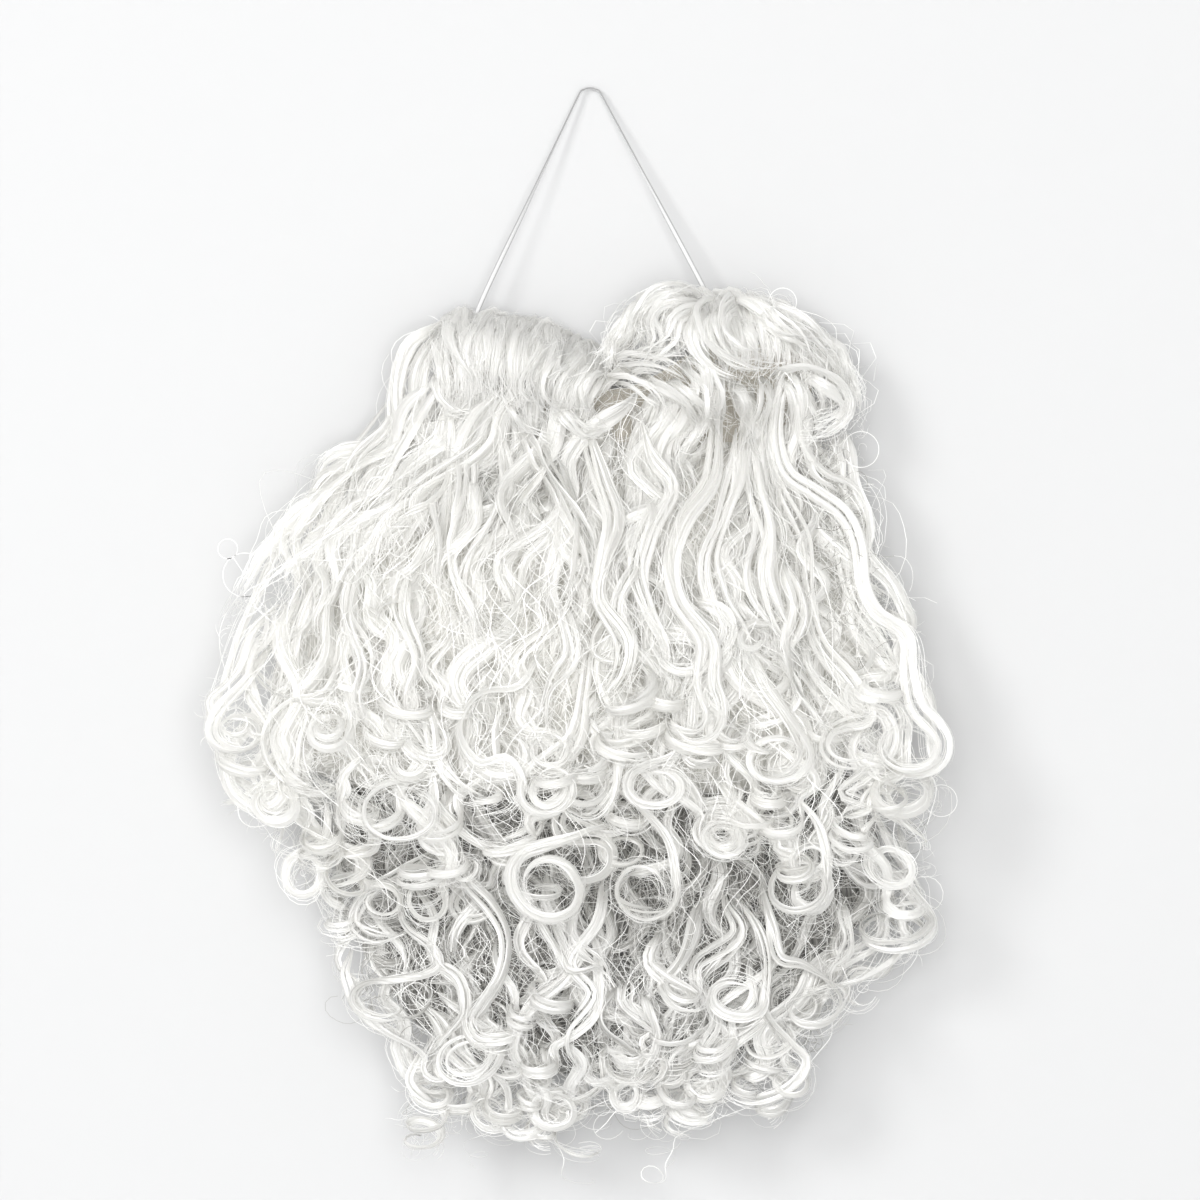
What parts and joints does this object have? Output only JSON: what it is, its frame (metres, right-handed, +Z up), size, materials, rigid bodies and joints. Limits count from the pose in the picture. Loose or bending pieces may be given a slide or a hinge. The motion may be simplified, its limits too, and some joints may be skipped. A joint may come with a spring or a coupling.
{
  "type": "fake beard",
  "caption": "Curly white false beard with moustache: locks ending in ringlets on a cloth backing, hung by its elastic head strap.",
  "frame": {"origin": "middle of the elastic strap where it hangs over a peg, on the strap's lower face", "axes": "+Z up as the beard hangs, -Y the wearer's front, +X to the viewer's right"},
  "size_m": [0.3073, 0.0888, 0.4512],
  "materials": {
    "white_hair": "satin synthetic hair",
    "backing_cloth": "matte woven cotton",
    "white_elastic": "matte braided elastic"
  },
  "bodies": {
    "root": {"elastic_strap": "white_elastic", "backing": "backing_cloth", "moustache_left": "white_hair", "moustache_right": "white_hair", "upper_hair": "white_hair", "lower_hair": "white_hair"}
  },
  "joints": []
}
